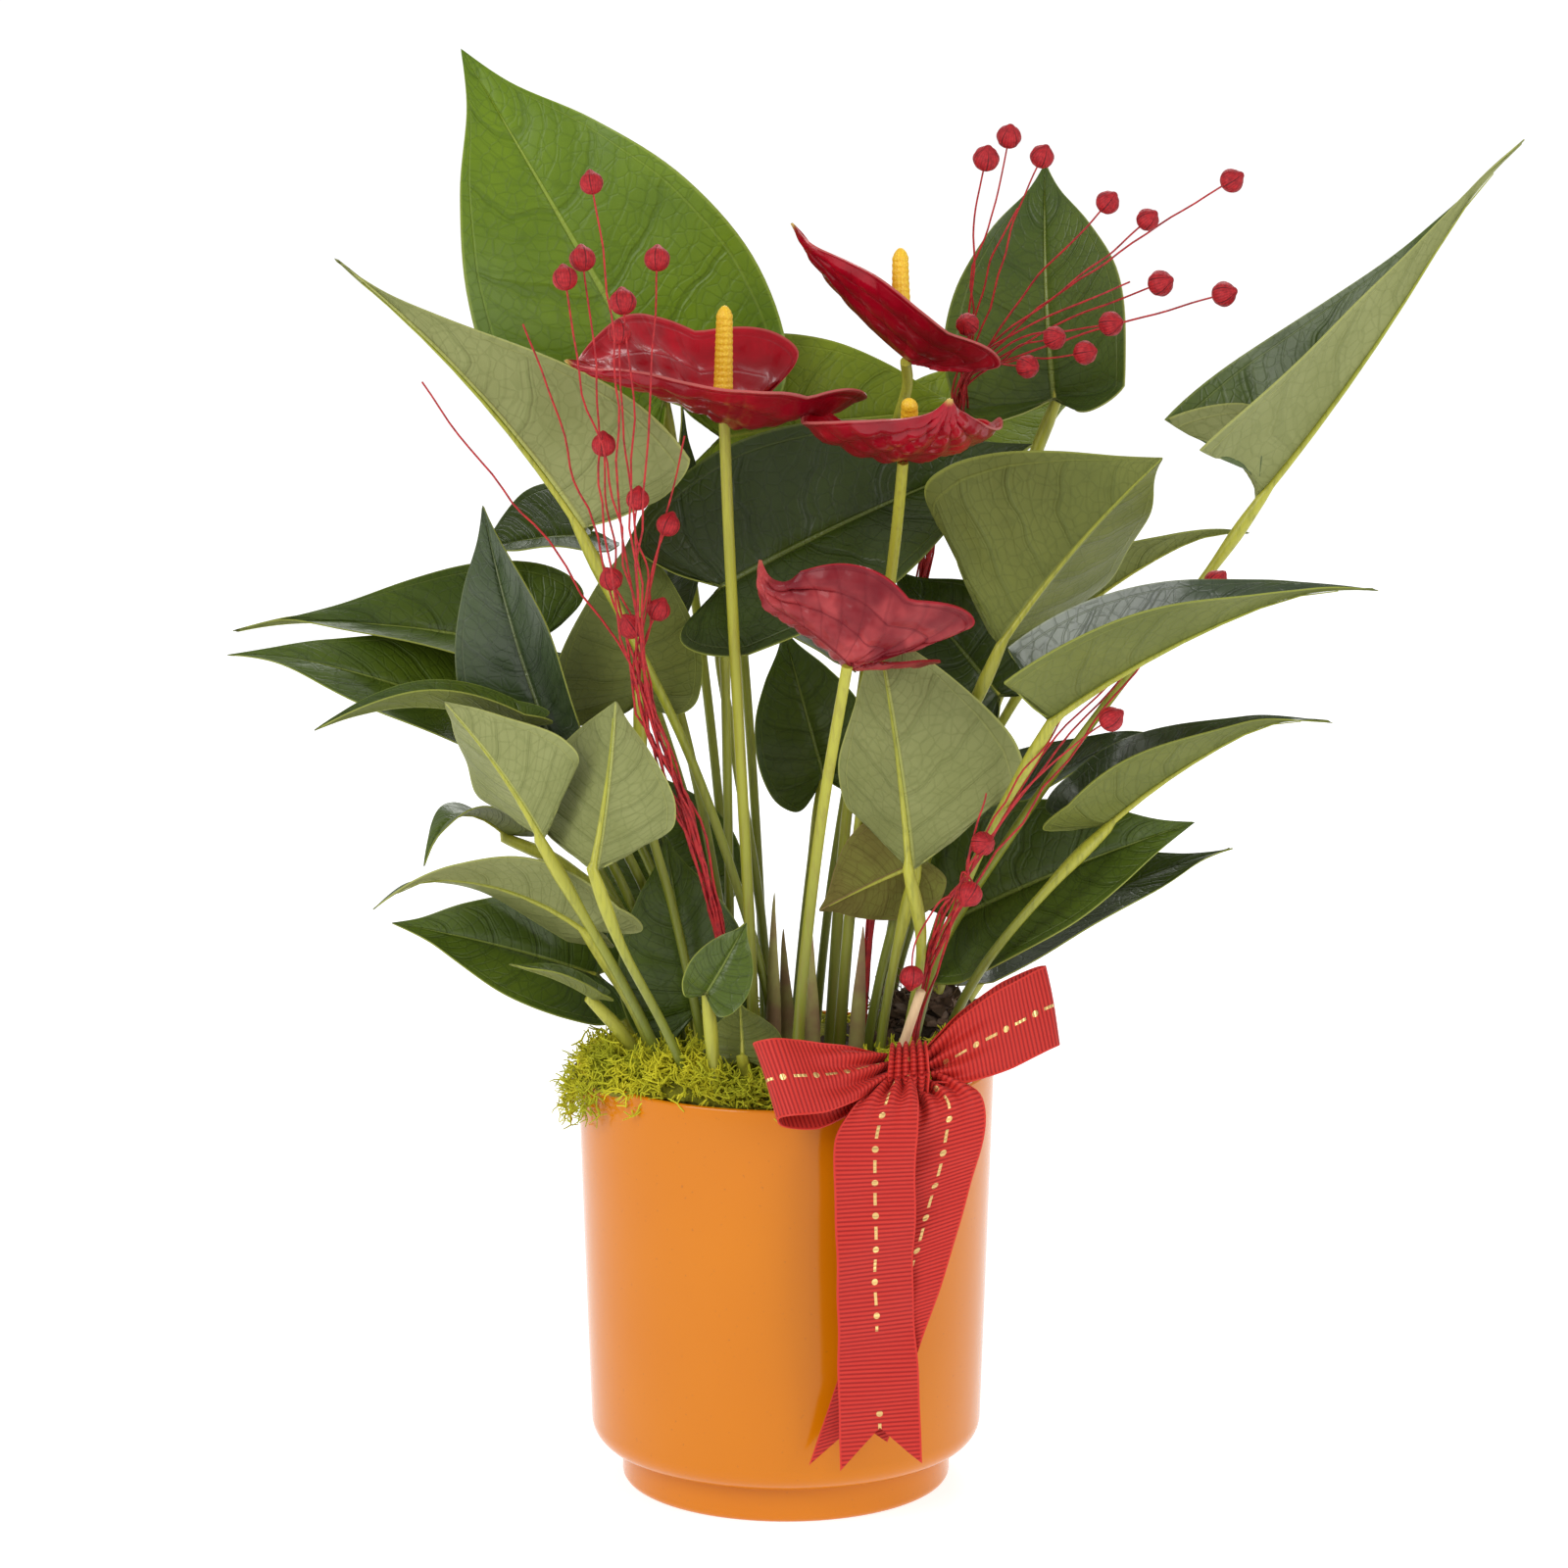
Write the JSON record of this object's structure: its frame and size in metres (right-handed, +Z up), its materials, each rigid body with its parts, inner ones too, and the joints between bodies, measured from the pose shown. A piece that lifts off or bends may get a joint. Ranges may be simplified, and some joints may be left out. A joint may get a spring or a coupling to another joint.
{
  "type": "potted anthurium",
  "caption": "Flowering anthurium plant in a round tapered cover pot with a stepped foot, dressed with moss, dyed flax sprigs and a ribbon bow on a stick.",
  "frame": {"origin": "middle of the flat underside of the pot's foot", "axes": "+Z up through the pot, -Y towards the side that shows the bow, +X to the right of that side"},
  "size_m": [0.3938, 0.1542, 0.4451],
  "materials": {
    "pot": "smooth gloss, orange",
    "mix": "dark damp peat with bark and coir fibre",
    "moss": "dyed reindeer moss, matt, branching",
    "leaf": "living leaf, waxy upper side, paler underside",
    "dry_leaf": "dying leaf, brown and dull",
    "flower_stem": "living stem, satin yellow-green",
    "spathe": "lacquer-glossy red bract",
    "spadix": "satin yellow, finely bumpy",
    "flax": "dried flax dyed red, matt",
    "stick": "bare pale wood",
    "ribbon": "red grosgrain, fine cross ribs"
  },
  "bodies": {
    "root": {"bow_knot": "ribbon", "bow_loop_left": "ribbon", "bow_loop_right": "ribbon", "bow_stick": "stick", "bow_tail_back": "ribbon", "bow_tail_front": "ribbon", "cover_pot": "pot", "flower_left_spadix": "spadix", "flower_left_spathe": "spathe", "flower_left_stem": "flower_stem", "flower_low_spadix": "spadix", "flower_low_spathe": "spathe", "flower_low_stem": "flower_stem", "flower_right_spadix": "spadix", "flower_right_spathe": "spathe", "flower_right_stem": "flower_stem", "flower_top_spadix": "spadix", "flower_top_spathe": "spathe", "flower_top_stem": "flower_stem", "leaf_back_centre": "leaf", "leaf_back_left": "leaf", "leaf_back_right": "leaf", "leaf_brown": "dry_leaf", "leaf_centre": "leaf", "leaf_curled_left": "leaf", "leaf_dark_left": "leaf", "leaf_dark_right": "leaf", "leaf_dark_upright": "leaf", "leaf_far_right": "leaf", "leaf_folded_left": "leaf", "leaf_front_centre": "leaf", "leaf_front_left": "leaf", "leaf_high_left": "leaf", "leaf_high_right": "leaf", "leaf_inner_back": "leaf", "leaf_inner_left": "leaf", "leaf_left": "leaf", "leaf_left_centre": "leaf", "leaf_left_pale": "leaf", "leaf_left_rolled": "leaf", "leaf_left_under": "leaf", "leaf_low_front": "leaf", "leaf_low_left": "leaf", "leaf_low_right": "leaf", "leaf_low_right_inner": "leaf", "leaf_low_right_under": "leaf", "leaf_lower_right": "leaf", "leaf_lowest_left": "leaf", "leaf_right": "leaf", "leaf_right_behind": "leaf", "leaf_right_centre": "leaf", "leaf_round_front": "leaf", "leaf_small_front": "leaf", "leaf_tall_back": "leaf", "leaf_under_centre": "leaf", "potting_mix": "mix", "reindeer_moss": "moss", "sprig_left": "flax", "sprig_low": "flax", "sprig_right": "flax"}
  },
  "joints": []
}
